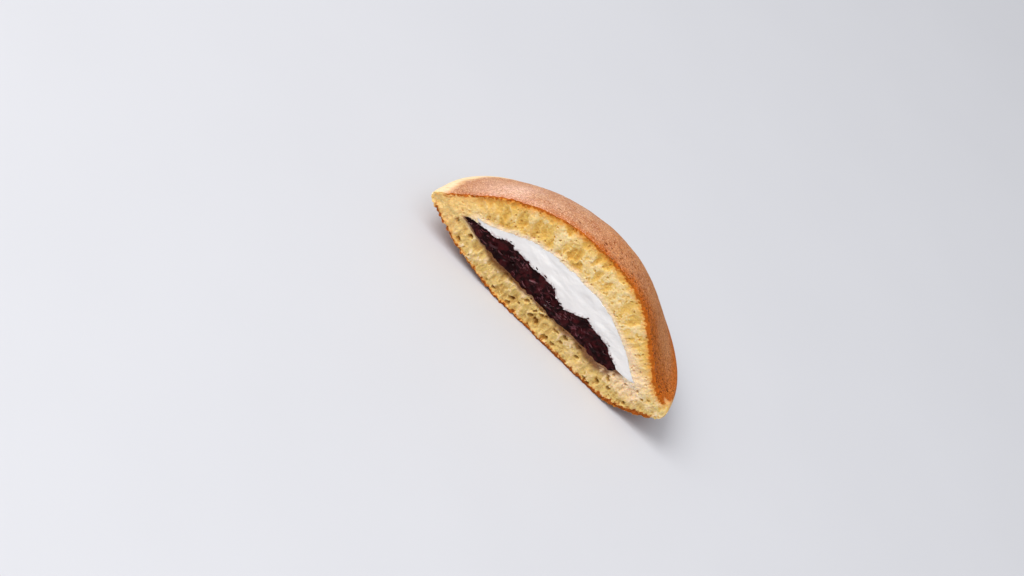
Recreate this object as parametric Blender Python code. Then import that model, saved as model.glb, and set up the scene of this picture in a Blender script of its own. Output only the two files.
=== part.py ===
"""Half a dorayaki, cut through the middle: two round pancakes pinched together at the rim,
with whipped cream over sweet bean paste between them.

The whole cake is made first, as four turned solids whose profiles change gently round the
circle. A knife with a crumbly face then takes the front half away, and air pockets are cut
into the crumb that the knife laid open. Metres, +Z up. The flat cut faces -Y, and the origin
is at the bottom centre of the bounding box.
"""

import math
import random

import bmesh
import bpy
from mathutils import Matrix, Vector, noise

MM = 0.001

# Driving dimensions of the whole cake
RIM_RADIUS = 46.5 * MM
TOP_HEIGHT = 37.5 * MM
SEAM_HEIGHT = 11.3 * MM
LIP_WIDTH = 1.9 * MM  # how far in from the rim its rounding begins
CLEARANCE = 0.3 * MM  # between neighbouring pieces
UPPER_SEAM = SEAM_HEIGHT + CLEARANCE / 2
LOWER_SEAM = SEAM_HEIGHT - CLEARANCE / 2
CUT_Y = -RIM_RADIUS / 2  # the knife's plane, through the cake's axis

# The filling, measured at the axis
CREAM_TOP = 25.2 * MM
PASTE_TOP = 17.0 * MM
PASTE_BOTTOM = 9.0 * MM

# Mesh fineness
TURN_STEPS = 44
RINGS = 14
KNIFE_CELL = 2.1 * MM
SLIVER = 0.02 * MM

LEFT, BACK, RIGHT = 0, 1, 2

# Each surface is given on the left, at the back (and front) and on the right.
# A dome falls from its height at the axis to its edge as (1 - s^rise)^fall, s from 0 to 1.
CRUST_RISE = (2.6, 2.05, 3.2)
CRUST_FALL = (1.35, 1.1, 2.7)
LIP_TOP = (12.6 * MM, 13.4 * MM, 15.0 * MM)
LIP_BOTTOM = (10.0 * MM, 9.6 * MM, 9.25 * MM)
BASE_FLAT_RADIUS = (8.0 * MM, 27.0 * MM, 20.0 * MM)
BASE_CURL = (1.9, 2.1, 2.4)

CREAM_EDGE_RADIUS = (32.0 * MM, 32.5 * MM, 33.4 * MM)
CREAM_EDGE_HEIGHT = (16.2 * MM, 14.5 * MM, 12.7 * MM)
CREAM_RISE = (3.1, 2.9, 2.7)
CREAM_FALL = (2.3, 1.7, 1.3)
CREAM_CLOSING = 6.0  # how late its underside turns up to its edge

PASTE_EDGE_RADIUS = (34.8 * MM, 31.0 * MM, 27.2 * MM)
PASTE_EDGE_HEIGHT = (13.0 * MM, 12.2 * MM, 11.4 * MM)
PASTE_RISE = (2.9, 2.4, 2.0)
PASTE_FALL = (0.5, 0.6, 0.7)
PASTE_BOWL = (2.4, 5.0, 19.0)

PASTE_DIP_X = 3.8 * MM  # a hollow that the cream fills, right of the middle
PASTE_DIP_WIDTH = 4.0 * MM
PASTE_DIP_DEPTH = 3.2 * MM
PASTE_LUMP_SIZE = 5.5 * MM
PASTE_LUMP_HEIGHT = 0.8 * MM

COLOURS = {  # linear red, green, blue, and roughness
    "upper_pancake": ((0.60, 0.32, 0.14), 0.6),
    "lower_pancake": ((0.62, 0.38, 0.17), 0.7),
    "whipped_cream": ((0.86, 0.84, 0.81), 0.5),
    "bean_paste": ((0.045, 0.012, 0.013), 0.35),
}


def round_the_circle(values, angle):
    """A value that passes smoothly from the right (angle 0) through the back to the left."""
    side = values[RIGHT] if math.cos(angle) >= 0 else values[LEFT]
    return values[BACK] + (side - values[BACK]) * math.cos(angle) ** 6


def dome(share, peak, edge, rise, fall):
    """Height at a share of the edge radius, falling from peak to edge."""
    return edge + (peak - edge) * max(0.0, 1.0 - share**rise) ** fall


def lip_rounding(radius):
    """1 over most of the cake, falling to 0 at the rim along a quarter of an ellipse."""
    inside = (radius - (RIM_RADIUS - LIP_WIDTH)) / LIP_WIDTH
    return math.sqrt(max(0.0, 1.0 - max(0.0, inside) ** 2))


def crust_height(radius, angle):
    """The browned top of the cake, with the shallow dents of a hand-pressed one."""
    share = radius / RIM_RADIUS
    height = dome(
        share,
        TOP_HEIGHT,
        round_the_circle(LIP_TOP, angle),
        round_the_circle(CRUST_RISE, angle),
        round_the_circle(CRUST_FALL, angle),
    )
    place = Vector((radius * math.cos(angle), radius * math.sin(angle), 0.0)) / (13 * MM)
    dent = 0.45 * MM * noise.noise(place) * share * (1 - share) * 4
    return UPPER_SEAM + (height + dent - UPPER_SEAM) * lip_rounding(radius)


def base_height(radius, angle):
    """The underside: flat in the middle, curling up to the rim."""
    flat = round_the_circle(BASE_FLAT_RADIUS, angle)
    out = max(0.0, (radius - flat) / (RIM_RADIUS - flat))
    height = round_the_circle(LIP_BOTTOM, angle) * out ** round_the_circle(BASE_CURL, angle)
    return LOWER_SEAM + (height - LOWER_SEAM) * lip_rounding(radius)


def cream_top_height(radius, angle):
    edge = round_the_circle(CREAM_EDGE_RADIUS, angle)
    return dome(
        radius / edge,
        CREAM_TOP,
        round_the_circle(CREAM_EDGE_HEIGHT, angle),
        round_the_circle(CREAM_RISE, angle),
        round_the_circle(CREAM_FALL, angle),
    )


def cream_bottom_height(radius, angle):
    """The cream reaches down into the paste, which is later taken out of it."""
    inside = min(radius, round_the_circle(PASTE_EDGE_RADIUS, angle))
    middle = (paste_dome(inside, angle) + paste_bowl(inside, angle)) / 2
    edge = round_the_circle(CREAM_EDGE_HEIGHT, angle)
    share = min(1.0, radius / round_the_circle(CREAM_EDGE_RADIUS, angle))
    return edge + (middle - edge) * math.sqrt(1.0 - share**CREAM_CLOSING)


def paste_dome(radius, angle):
    edge = round_the_circle(PASTE_EDGE_RADIUS, angle)
    height = dome(
        radius / edge,
        PASTE_TOP,
        round_the_circle(PASTE_EDGE_HEIGHT, angle),
        round_the_circle(PASTE_RISE, angle),
        round_the_circle(PASTE_FALL, angle),
    )
    across = (radius * math.cos(angle) - PASTE_DIP_X) / PASTE_DIP_WIDTH
    return height - PASTE_DIP_DEPTH * math.exp(-across * across) * max(0.0, 1 - (radius / edge) ** 2)


def paste_bowl(radius, angle):
    edge = round_the_circle(PASTE_EDGE_HEIGHT, angle)
    share = min(1.0, radius / round_the_circle(PASTE_EDGE_RADIUS, angle))
    return PASTE_BOTTOM + (edge - PASTE_BOTTOM) * share ** round_the_circle(PASTE_BOWL, angle)


def paste_lumps(radius, angle, level):
    """Soft lumps of mashed beans, fading out at the paste's thin edge."""
    edge = round_the_circle(PASTE_EDGE_RADIUS, angle)
    place = Vector((radius * math.cos(angle), radius * math.sin(angle), level))
    lump = noise.noise(place / PASTE_LUMP_SIZE) + 0.5 * noise.noise(place * 2.3 / PASTE_LUMP_SIZE)
    return PASTE_LUMP_HEIGHT * lump * max(0.0, 1.0 - (radius / edge) ** 6)


def paste_top_height(radius, angle):
    return paste_dome(radius, angle) + paste_lumps(radius, angle, 0.0)


def paste_bottom_height(radius, angle):
    return paste_bowl(radius, angle) + 0.7 * paste_lumps(radius, angle, 9 * MM)


def new_object(name, bm, collection):
    bmesh.ops.recalc_face_normals(bm, faces=bm.faces)
    mesh = bpy.data.meshes.new(name)
    bm.to_mesh(mesh)
    bm.free()
    obj = bpy.data.objects.new(name, mesh)
    collection.objects.link(obj)
    return obj


def turned_sheet(bm, height, edge_radius):
    """A round sheet spun from one spoke, each point then set to its own height."""
    spoke = [bm.verts.new((math.sin(math.pi / 2 * i / RINGS), 0, 0)) for i in range(RINGS + 1)]
    edges = [bm.edges.new(pair) for pair in zip(spoke, spoke[1:])]
    before = set(bm.verts) - set(spoke)
    bmesh.ops.spin(
        bm,
        geom=spoke + edges,
        cent=(0, 0, 0),
        axis=(0, 0, 1),
        angle=math.tau,
        steps=TURN_STEPS,
        use_merge=True,
    )
    for vert in set(bm.verts) - before:
        share = min(1.0, vert.co.xy.length)
        angle = math.atan2(vert.co.y, vert.co.x)
        radius = share * round_the_circle(edge_radius, angle)
        vert.co = (
            radius * math.cos(angle),
            radius * math.sin(angle) + CUT_Y,
            height(radius, angle),
        )


def turned_solid(name, top, bottom, edge_radius, collection):
    """The solid between two sheets that share their round edge."""
    bm = bmesh.new()
    turned_sheet(bm, top, edge_radius)
    turned_sheet(bm, bottom, edge_radius)
    bmesh.ops.remove_doubles(bm, verts=bm.verts, dist=0.02 * MM)
    bmesh.ops.triangulate(bm, faces=bm.faces)
    return new_object(name, bm, collection)


def enlarged(source, collection):
    """A cutter: the piece grown by the clearance that its neighbours keep to it."""
    cutter = bpy.data.objects.new(source.name + "_room", source.data.copy())
    collection.objects.link(cutter)
    grow = cutter.modifiers.new("grow", "DISPLACE")
    grow.strength = CLEARANCE
    grow.mid_level = 0.0
    grow.direction = "NORMAL"
    return cutter


def knife(name, recess, cell, collection):
    """The half that is cut away, with a face that leaves hollows of the given depth."""
    width, height = 104 * MM, 46 * MM
    bm = bmesh.new()
    bmesh.ops.create_grid(
        bm,
        x_segments=round(width / cell),
        y_segments=round(height / cell),
        size=0.5,
        matrix=Matrix.Translation((0, 0, TOP_HEIGHT / 2))
        @ Matrix.Rotation(math.pi / 2, 4, "X")
        @ Matrix.Diagonal((width, height, 1, 1)),
    )
    shake = random.Random(7)
    for vert in bm.verts:
        vert.co.x += shake.uniform(-0.25, 0.25) * cell
        vert.co.z += shake.uniform(-0.25, 0.25) * cell
    face = list(bm.faces)
    bmesh.ops.triangulate(bm, faces=face)
    for vert in bm.verts:
        vert.co.y = CUT_Y + max(0.0, recess(vert.co))
    far = bmesh.ops.extrude_face_region(bm, geom=list(bm.faces))["geom"]
    for item in far:
        if isinstance(item, bmesh.types.BMVert):
            item.co.y = CUT_Y - 1.2 * RIM_RADIUS
    return new_object(name, bm, collection)


def crumb_recess(place):
    """Torn crumb: shallow, uneven hollows with level ground between."""
    return 0.8 * MM * noise.noise(place / (3.4 * MM))


def cream_recess(place):
    """Long, soft waves that the knife drags through the cream."""
    along = Vector((place.x + 0.6 * place.z, 0, 2.2 * place.z))
    return 0.35 * MM * noise.noise(along / (7 * MM))


def paste_recess(place):
    """Beans stand level with the knife and the mash between them lies lower."""
    nearest = noise.voronoi(place / (3.4 * MM))[0][0]
    return 1.1 * MM * (nearest - 0.35)


def air_pockets(name, floor, ceiling, count, seed, collection):
    """Oval holes in the crumb between two surfaces, standing square to the crust."""
    draw = random.Random(seed)
    bm = bmesh.new()
    placed = []
    tries = 0
    while len(placed) < count and tries < 6000:
        tries += 1
        x = draw.uniform(-0.93, 0.93) * RIM_RADIUS
        side = 0.0 if x >= 0 else math.pi
        low, high = floor(abs(x), side), ceiling(abs(x), side)
        size = draw.uniform(0.42, 1.0) * 1.05 * MM
        tall = size * draw.uniform(1.2, 1.9)
        margin = tall + 0.8 * MM
        if high - low < 2 * margin:
            continue
        z = draw.uniform(low + margin, high - margin)
        if any(math.hypot(x - a, z - b) < size + other + 0.8 * MM for a, b, other in placed):
            continue
        placed.append((x, z, tall))
        lean = math.atan2(ceiling(abs(x) + MM, side) - ceiling(abs(x), side), MM)
        bmesh.ops.create_icosphere(
            bm,
            subdivisions=2,
            radius=1.0,
            matrix=Matrix.Translation((x, CUT_Y, z))
            @ Matrix.Rotation(-0.8 * lean * math.copysign(1, x), 4, "Y")
            @ Matrix.Diagonal((size, 1.3 * size, tall, 1)),
        )
    return new_object(name, bm, collection)


def cut(obj, cutter):
    boolean = obj.modifiers.new("less_" + cutter.name, "BOOLEAN")
    boolean.operation = "DIFFERENCE"
    boolean.solver = "EXACT"
    boolean.object = cutter


def without_slivers(obj):
    """Keeps the cut shape as the object's own mesh, its hair-thin triangles merged away."""
    shape = obj.evaluated_get(bpy.context.evaluated_depsgraph_get())
    mesh = bpy.data.meshes.new_from_object(shape)
    obj.modifiers.clear()
    bm = bmesh.new()
    bm.from_mesh(mesh)
    bmesh.ops.triangulate(bm, faces=bm.faces)
    bmesh.ops.remove_doubles(bm, verts=bm.verts, dist=SLIVER)
    bmesh.ops.dissolve_degenerate(bm, edges=bm.edges, dist=SLIVER)
    bmesh.ops.triangulate(bm, faces=bm.faces)
    bm.to_mesh(mesh)
    bm.free()
    obj.data = mesh


def paint(obj):
    colour, roughness = COLOURS[obj.name]
    material = bpy.data.materials.new(obj.name)
    material.use_nodes = True
    shader = material.node_tree.nodes["Principled BSDF"]
    shader.inputs["Base Color"].default_value = (*colour, 1.0)
    shader.inputs["Roughness"].default_value = roughness
    shader.inputs["Metallic"].default_value = 0.0
    obj.data.materials.append(material)


def upper_crumb_floor(radius, angle):
    """The top of the filling, or the seam beyond it."""
    edge = round_the_circle(CREAM_EDGE_RADIUS, angle)
    return max(SEAM_HEIGHT, cream_top_height(min(radius, edge), angle))


def lower_crumb_ceiling(radius, angle):
    """The underside of the paste, or the seam beyond it."""
    edge = round_the_circle(PASTE_EDGE_RADIUS, angle)
    return min(SEAM_HEIGHT, paste_bottom_height(min(radius, edge), angle))


def main():
    for obj in list(bpy.data.objects):
        bpy.data.objects.remove(obj)
    cake = bpy.data.collections.new("dorayaki_half")
    tools = bpy.data.collections.new("cutters")
    for collection in (cake, tools):
        bpy.context.scene.collection.children.link(collection)

    rim = (RIM_RADIUS,) * 3
    upper = turned_solid("upper_pancake", crust_height, lambda *_: UPPER_SEAM, rim, cake)
    lower = turned_solid("lower_pancake", lambda *_: LOWER_SEAM, base_height, rim, cake)
    cream = turned_solid(
        "whipped_cream", cream_top_height, cream_bottom_height, CREAM_EDGE_RADIUS, cake
    )
    paste = turned_solid(
        "bean_paste", paste_top_height, paste_bottom_height, PASTE_EDGE_RADIUS, cake
    )

    cream_room = enlarged(cream, tools)
    paste_room = enlarged(paste, tools)
    cut(cream, paste_room)
    for pancake in (upper, lower):
        cut(pancake, paste_room)
        cut(pancake, cream_room)

    crumb_knife = knife("crumb_knife", crumb_recess, KNIFE_CELL, tools)
    cut(upper, crumb_knife)
    cut(lower, crumb_knife)
    cut(cream, knife("cream_knife", cream_recess, 3.2 * MM, tools))
    cut(paste, knife("paste_knife", paste_recess, KNIFE_CELL, tools))

    cut(upper, air_pockets("upper_pockets", upper_crumb_floor, crust_height, 34, 3, tools))
    cut(lower, air_pockets("lower_pockets", base_height, lower_crumb_ceiling, 22, 11, tools))

    for tool in tools.objects:
        tool.hide_render = True
        tool.display_type = "WIRE"
    for piece in cake.objects:
        without_slivers(piece)
        paint(piece)


main()
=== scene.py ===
# %% [markdown]
# # Half a dorayaki
# A dorayaki is two round pancakes around a filling, here whipped cream over sweet bean paste.
# This one has been cut through the middle, so the crumb and both layers show. The CAD model
# gives the true outer form of every layer. This lesson makes each of them again with a fine
# surface: browned skin, torn crumb, soft cream and glossy beans. The CAD model is loaded
# first, so that everything is made at its true size and place.

# %% Load the frame
import math

import bmesh
import bpy
import numpy as np
from mathutils import Matrix, Vector


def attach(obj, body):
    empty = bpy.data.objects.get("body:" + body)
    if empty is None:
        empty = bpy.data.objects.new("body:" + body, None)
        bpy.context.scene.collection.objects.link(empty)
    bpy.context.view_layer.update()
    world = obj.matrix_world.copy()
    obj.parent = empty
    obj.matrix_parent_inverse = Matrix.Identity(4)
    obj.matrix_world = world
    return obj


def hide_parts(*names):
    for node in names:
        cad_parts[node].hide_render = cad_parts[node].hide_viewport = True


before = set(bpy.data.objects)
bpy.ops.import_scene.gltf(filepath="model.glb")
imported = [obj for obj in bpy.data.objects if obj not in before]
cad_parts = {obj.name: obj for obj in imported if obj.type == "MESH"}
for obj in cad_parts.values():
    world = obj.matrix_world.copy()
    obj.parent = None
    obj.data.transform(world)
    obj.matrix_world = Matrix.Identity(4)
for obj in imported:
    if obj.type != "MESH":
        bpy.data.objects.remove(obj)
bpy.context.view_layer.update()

MM = 0.001

# %% [markdown]
# ## The forms, as formulas
# The cake is nearly a turned shape: its height falls from the middle to the rim along one
# curve on the left, another at the back and another on the right. It could be sculpted, but
# the solids were made from these same sizes and formulas, so with them every fine surface
# lands exactly where its solid is. All sizes in this file are in millimetres until a mesh is
# written.

# %% Sizes of the cake
RIM = 46.5  # the radius
TOP = 37.5  # the height in the middle
SEAM = 11.3  # the height at which the pancakes meet at the rim
LIP = 1.9  # how far the rounding of the rim reaches inwards
CUT_Y = -RIM / 2  # the knife's plane
CREAM_TOP, PASTE_TOP, PASTE_BOTTOM = 25.2, 17.0, 9.0  # heights in the middle
FORM = {  # left, back, right
    "crust_rise": (2.6, 2.05, 3.2),
    "crust_fall": (1.35, 1.1, 2.7),
    "lip_top": (12.6, 13.4, 15.0),
    "lip_bottom": (10.0, 9.6, 9.25),
    "base_flat": (8.0, 27.0, 20.0),
    "base_curl": (1.9, 2.1, 2.4),
    "cream_radius": (32.0, 32.5, 33.4),
    "cream_edge": (16.2, 14.5, 12.7),
    "cream_rise": (3.1, 2.9, 2.7),
    "cream_fall": (2.3, 1.7, 1.3),
    "paste_radius": (34.8, 31.0, 27.2),
    "paste_edge": (13.0, 12.2, 11.4),
    "paste_rise": (2.9, 2.4, 2.0),
    "paste_fall": (0.5, 0.6, 0.7),
    "paste_bowl": (2.4, 5.0, 19.0),
}
print("cake:", 2 * RIM, "mm across,", TOP, "mm high,", len(FORM), "forms that change round it")


# %% Curves
def form(name, angle):
    """One of the forms at an angle round the cake: right at 0, back at pi / 2, left at pi."""
    left, back, right = FORM[name]
    side = np.where(np.cos(angle) >= 0, right, left)
    return back + (side - back) * np.cos(angle) ** 6


def ease(value, low, high):
    """0 below low, 1 above high, and a smooth rise between them."""
    t = np.clip((value - low) / (high - low), 0, 1)
    return t * t * (3 - 2 * t)


def dome(share, peak, edge, rise, fall):
    """A height that falls from the peak in the middle to the edge, where share is 1."""
    return edge + (peak - edge) * np.clip(1 - share**rise, 0, None) ** fall


def lip_rounding(radius):
    """1 on the cake, and a quarter circle down to 0 over the last bit before the rim."""
    inside = np.clip((radius - (RIM - LIP)) / LIP, 0, 1)
    return np.sqrt(np.clip(1 - inside**2, 0, None))


right_back_left = np.radians([0, 90, 180])
print("the paste reaches, right, back and left, mm:", form("paste_radius", right_back_left))

# %% [markdown]
# ## Repeatable unevenness
# Food has no straight lines, so every surface gets noise. `clouds` gives soft swells, for
# dents, lumps and grit. It could come from a texture and a Displace modifier, but the same
# swells are needed again to colour the pieces, so it is computed here, for whole meshes at
# once, and gives the same numbers on every run.

# %% Clouds
def lattice(column, row, level, seed):
    """A fixed random number from 0 to 1 for each corner of a lattice."""
    mixed = column * 73856093 ^ row * 19349663 ^ level * 83492791 ^ (seed * 40503 + 977)
    mixed = (mixed ^ (mixed >> 13)) * 1274126177 & 0xFFFFFFFF
    mixed = (mixed ^ (mixed >> 15)) * 2246822519 & 0xFFFFFFFF
    return ((mixed ^ (mixed >> 16)) & 0xFFFFFF) / 0xFFFFFF


def clouds(points, size, seed=0, octaves=1):
    """Soft noise from -1 to 1, with swells about as wide as size."""
    total, weight, sum_of_weights = 0.0, 1.0, 0.0
    for octave in range(octaves):
        place = np.asarray(points) / size * 2**octave + 500.0
        corner = np.floor(place).astype(np.int64)
        blend = place - corner
        blend = blend**3 * (blend * (blend * 6 - 15) + 10)
        value = 0.0
        for step in np.ndindex(2, 2, 2):
            share = np.prod(np.where(np.array(step) == 1, blend, 1 - blend), axis=1)
            value = value + share * lattice(*(corner + step).T, seed + octave)
        total = total + weight * (2 * value - 1)
        sum_of_weights += weight
        weight *= 0.5
    return 1.4 * total / sum_of_weights


row_of_points = np.linspace(0, 50, 400)[:, None] * np.array([1.0, 0.3, 0.0])
sample = clouds(row_of_points, 5.0)
print("clouds along a row run from", sample.min().round(2), "to", sample.max().round(2))

# %% [markdown]
# ## Bubbles and beans as cells
# A foam is made of bubbles that press against one another, and mashed beans lie packed the
# same way. `cells` gives that pattern: seeds are strewn at random, one to a square, and each
# point belongs to the seed nearest to it. A bump made where the point is close to its seed is
# then a bubble, a pit or a bean, and none overlap.

# %% Cells
def cells(across, along, seed):
    """Distance to the nearest seed, and a random number for the cell round that seed."""
    column, row = np.floor(across).astype(np.int64), np.floor(along).astype(np.int64)
    nearest, owner = np.full(across.shape, 9.0), np.zeros(across.shape)
    for dx in (-1, 0, 1):
        for dy in (-1, 0, 1):
            c, r = column + dx, row + dy
            far = np.hypot(
                across - c - 0.1 - 0.8 * lattice(c, r, 0 * c, seed),
                along - r - 0.1 - 0.8 * lattice(c, r, 0 * c + 1, seed),
            )
            closer = far < nearest
            owner = np.where(closer, lattice(c, r, 0 * c + 2, seed), owner)
            nearest = np.where(closer, far, nearest)
    return nearest, owner


def flat_points(radius, angle, height=0.0):
    """Points at one height, from their distances and angles round the axis of the cake."""
    x, y = radius * np.cos(angle), radius * np.sin(angle)
    return np.stack([x, y, np.zeros_like(x) + height], axis=1)


sample, _ = cells(row_of_points[:, 0], row_of_points[:, 1], 1)
print("no point of the row is further from a seed than", sample.max().round(2), "squares")

# %% [markdown]
# ## Heights of the pancakes
# Batter on a griddle spreads into a round that is thick in the middle and thin at the rim.
# Two of them are laid back to back and pinched together. A squashed sphere would do for an
# even dome, but this one is steep on the left and has a long slope on the right, so its
# height is a formula of the distance from the cake's axis and the angle round it.

# %% Heights of the pancakes
def crust_height(radius, angle):
    """The outside of the upper pancake, which rounds down to the seam at the rim."""
    share = radius / RIM
    height = dome(
        share, TOP, form("lip_top", angle), form("crust_rise", angle), form("crust_fall", angle)
    )
    return SEAM + (height - SEAM) * lip_rounding(radius)


def base_height(radius, angle):
    """The outside of the lower pancake: flat on the table, then curled up to the seam."""
    flat = form("base_flat", angle)
    out = np.clip((radius - flat) / (RIM - flat), 0, None)
    height = form("lip_bottom", angle) * out ** form("base_curl", angle)
    return SEAM + (height - SEAM) * lip_rounding(radius)


for turn in (0, 90, 180):
    radius, angle = np.array([0.0, RIM / 2, RIM]), np.radians([turn, turn, turn])
    print("crust at", turn, "degrees, middle to rim, mm:", crust_height(radius, angle).round(1))

# %% [markdown]
# ## Heights of the filling
# The paste was spread as a flat lens with a dip right of the middle. The cream is a taller
# lens piped over it, and both stop before the rim, so that the pancakes can touch. They could
# be sculpted by eye, but each gets a formula for its top and one for its bottom, because the
# same heights are used again to place the torn skins and to stain the crumb under the paste.

# %% Heights of the paste
def paste_dome(radius, angle):
    edge = form("paste_radius", angle)
    share = np.clip(radius / edge, 0, 1)
    height = dome(
        share,
        PASTE_TOP,
        form("paste_edge", angle),
        form("paste_rise", angle),
        form("paste_fall", angle),
    )
    dip_x, dip_width, dip_depth = 3.8, 4.0, 3.2
    across = (radius * np.cos(angle) - dip_x) / dip_width
    return height - dip_depth * np.exp(-across * across) * (1 - share**2)


def paste_bowl(radius, angle):
    share = np.clip(radius / form("paste_radius", angle), 0, 1)
    rise = form("paste_edge", angle) - PASTE_BOTTOM
    return PASTE_BOTTOM + rise * share ** form("paste_bowl", angle)


def paste_lumps(radius, angle, level):
    fade = np.clip(1 - (radius / form("paste_radius", angle)) ** 6, 0, None)
    place = flat_points(radius, angle, level)
    return fade * (0.75 * clouds(place, 5.0, 3, 2) + 0.50 * clouds(place, 1.3, 5, 2))


def paste_top(radius, angle):
    return paste_dome(radius, angle) + paste_lumps(radius, angle, 0.0)


def paste_bottom(radius, angle):
    return paste_bowl(radius, angle) + 0.6 * paste_lumps(radius, angle, 40.0)


middle = np.zeros(1)
heights = np.array([paste_bottom(middle, middle), paste_top(middle, middle)]).ravel()
print("paste in the middle, from and to, mm up:", heights.round(1))


# %% Heights of the cream
def cream_top(radius, angle):
    share = np.clip(radius / form("cream_radius", angle), 0, 1)
    height = dome(
        share,
        CREAM_TOP,
        form("cream_edge", angle),
        form("cream_rise", angle),
        form("cream_fall", angle),
    )
    place = flat_points(radius, angle)
    waves = 0.26 * clouds(place, 3.0, 8, 2) + 0.14 * clouds(place, 0.9, 9)
    return height + waves * (1 - share**8)


def cream_bottom(radius, angle):
    """The cream reaches down into the middle of the paste, which is cut out of it later."""
    inside = np.minimum(radius, form("paste_radius", angle))
    halfway = (paste_dome(inside, angle) + paste_bowl(inside, angle)) / 2
    share = np.clip(radius / form("cream_radius", angle), 0, 1)
    edge = form("cream_edge", angle)
    return edge + (halfway - edge) * np.sqrt(np.clip(1 - share**6, 0, None))


heights = np.array([cream_bottom(middle, middle), cream_top(middle, middle)]).ravel()
print("cream in the middle, from and to, mm up:", heights.round(1))

# %% [markdown]
# ## Tools of the bench
# Blender's operators act on all that is selected, so `use` deselects everything before it
# selects one piece. Arrays of points go in and out of a mesh in one step, because a loop over
# a hundred thousand points would be slow. `report` counts the edges that don't have a face on
# both sides: a piece of food is a closed body, so the count has to be 0.

# %% Tools for selecting and for points
def deselect():
    if bpy.context.object and bpy.context.object.mode != "OBJECT":
        bpy.ops.object.mode_set(mode="OBJECT")
    bpy.ops.object.select_all(action="DESELECT")


def use(piece):
    deselect()
    piece.select_set(True)
    bpy.context.view_layer.objects.active = piece


def points_of(piece):
    flat = np.empty(3 * len(piece.data.vertices))
    piece.data.vertices.foreach_get("co", flat)
    return flat.reshape(-1, 3) / MM


def set_points(piece, points):
    piece.data.vertices.foreach_set("co", (np.asarray(points) * MM).ravel())
    piece.data.update()


# %% Tools for welding and measuring
WELD = 0.001  # points closer than this become one


def weld(piece, merge=WELD):
    """Makes points that share a place one point, and leaves the piece in edit mode."""
    use(piece)
    bpy.ops.object.mode_set(mode="EDIT")
    bpy.ops.mesh.select_all(action="SELECT")
    bpy.ops.mesh.remove_doubles(threshold=merge * MM)


def tidy(piece, merge=WELD):
    weld(piece, merge)
    bpy.ops.mesh.normals_make_consistent(inside=False)
    bpy.ops.object.mode_set(mode="OBJECT")


def open_edges(piece):
    bm = bmesh.new()
    bm.from_mesh(piece.data)
    count = sum(1 for edge in bm.edges if len(edge.link_faces) != 2)
    bm.free()
    return count


def report(piece):
    print(piece.name, len(piece.data.polygons), "faces, open edges", open_edges(piece))


print("points closer than", WELD, "mm are welded")

# %% [markdown]
# ## Beans and cream as blanks
# Both fillings were spread, so they are thick in the middle and thin out to an edge. Each
# starts as a flat grid with a thickness, as dough is rolled out. The grid is then bent round
# the axis of the cake: x becomes the share of the radius and y the half turn. A ball could be
# squashed and halved instead, but here the upper and the lower side have different shapes,
# and a sheet lets each side have its own height.

# %% Rolled-out sheets
def half_round_sheet(name, rings, steps, thick):
    """A grid to be bent: share of the radius, angle, and which points are on the upper side."""
    deselect()
    bpy.ops.mesh.primitive_grid_add(x_subdivisions=rings, y_subdivisions=steps, size=1.0)
    piece = bpy.context.object
    piece.name = name
    grid = points_of(piece) * MM
    if thick:
        bpy.ops.object.mode_set(mode="EDIT")
        bpy.ops.mesh.select_all(action="SELECT")
        bpy.ops.mesh.extrude_region_move(TRANSFORM_OT_translate={"value": (0, 0, -1)})
        bpy.ops.object.mode_set(mode="OBJECT")
        grid = points_of(piece) * MM
    share = np.clip(grid[:, 0] + 0.5, 0, 1)
    share = share + 0.06 * np.sin(np.pi * share)
    angle = np.pi * np.clip(grid[:, 1] + 0.5, 0, 1)
    return piece, share, angle, grid[:, 2] > -0.5


def place_polar(piece, radius, angle, height):
    """Bends a sheet round the axis of the cake, which stands in the cut."""
    x, y = radius * np.cos(angle), radius * np.sin(angle) + CUT_Y
    set_points(piece, np.stack([x, y, height], axis=1))


def filling_layer(name, radius_form, top, bottom, rings, steps):
    piece, share, angle, upper = half_round_sheet(name, rings, steps, thick=True)
    radius = share * form(radius_form, angle)
    height = np.where(upper, top(radius, angle), bottom(radius, angle))
    place_polar(piece, radius, angle, height)
    tidy(piece)
    return piece


paste = filling_layer("bean_filling", "paste_radius", paste_top, paste_bottom, 150, 70)
cream = filling_layer("cream_filling", "cream_radius", cream_top, cream_bottom, 110, 70)
for filling in (paste, cream):
    report(filling)

# %% [markdown]
# ## Room for one another
# Cream clings to every lump of the paste under it, and both are bedded in the pancakes. The
# surfaces could be given to each neighbour as a height again, but a Boolean modifier takes
# them over exactly. Each cutter is a copy of the layer, a hair smaller, so that the layer
# fills the hollow and no light shows between them. The paste is cut from the cream first.

# %% Room for the filling
HAIR = 0.04


def cut(piece, cutter):
    use(piece)
    less = piece.modifiers.new("less_" + cutter.name, "BOOLEAN")
    less.operation = "DIFFERENCE"
    less.solver = "MANIFOLD"
    less.object = cutter
    bpy.ops.object.modifier_apply(modifier=less.name)


def shrunk(piece, by):
    use(piece)
    bpy.ops.object.duplicate()
    cutter = bpy.context.object
    cutter.name = piece.name + "_room"
    pull = cutter.modifiers.new("pull", "DISPLACE")
    pull.strength = -by * MM
    pull.mid_level = 0.0
    pull.direction = "NORMAL"
    bpy.ops.object.modifier_apply(modifier=pull.name)
    return cutter


paste_room = shrunk(paste, HAIR)
cream_room = shrunk(cream, HAIR)
cut(cream, paste_room)
report(cream)

# %% [markdown]
# ## Relief of the browned skins
# The outside of each pancake is matt and copper brown, with shallow dents and a dusting of
# fine pits where bubbles burst on the griddle. Pits could be left to a bump in the material,
# but a bump is flat in the exported mesh, so the dents and the larger pits are real. They
# crowd towards the right, where the griddle was hotter.

# %% Pits and dents
PIT_DEPTH = 0.22
TOP_SEED, BOTTOM_SEED = 51, 71  # each pancake has a pattern of its own


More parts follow.
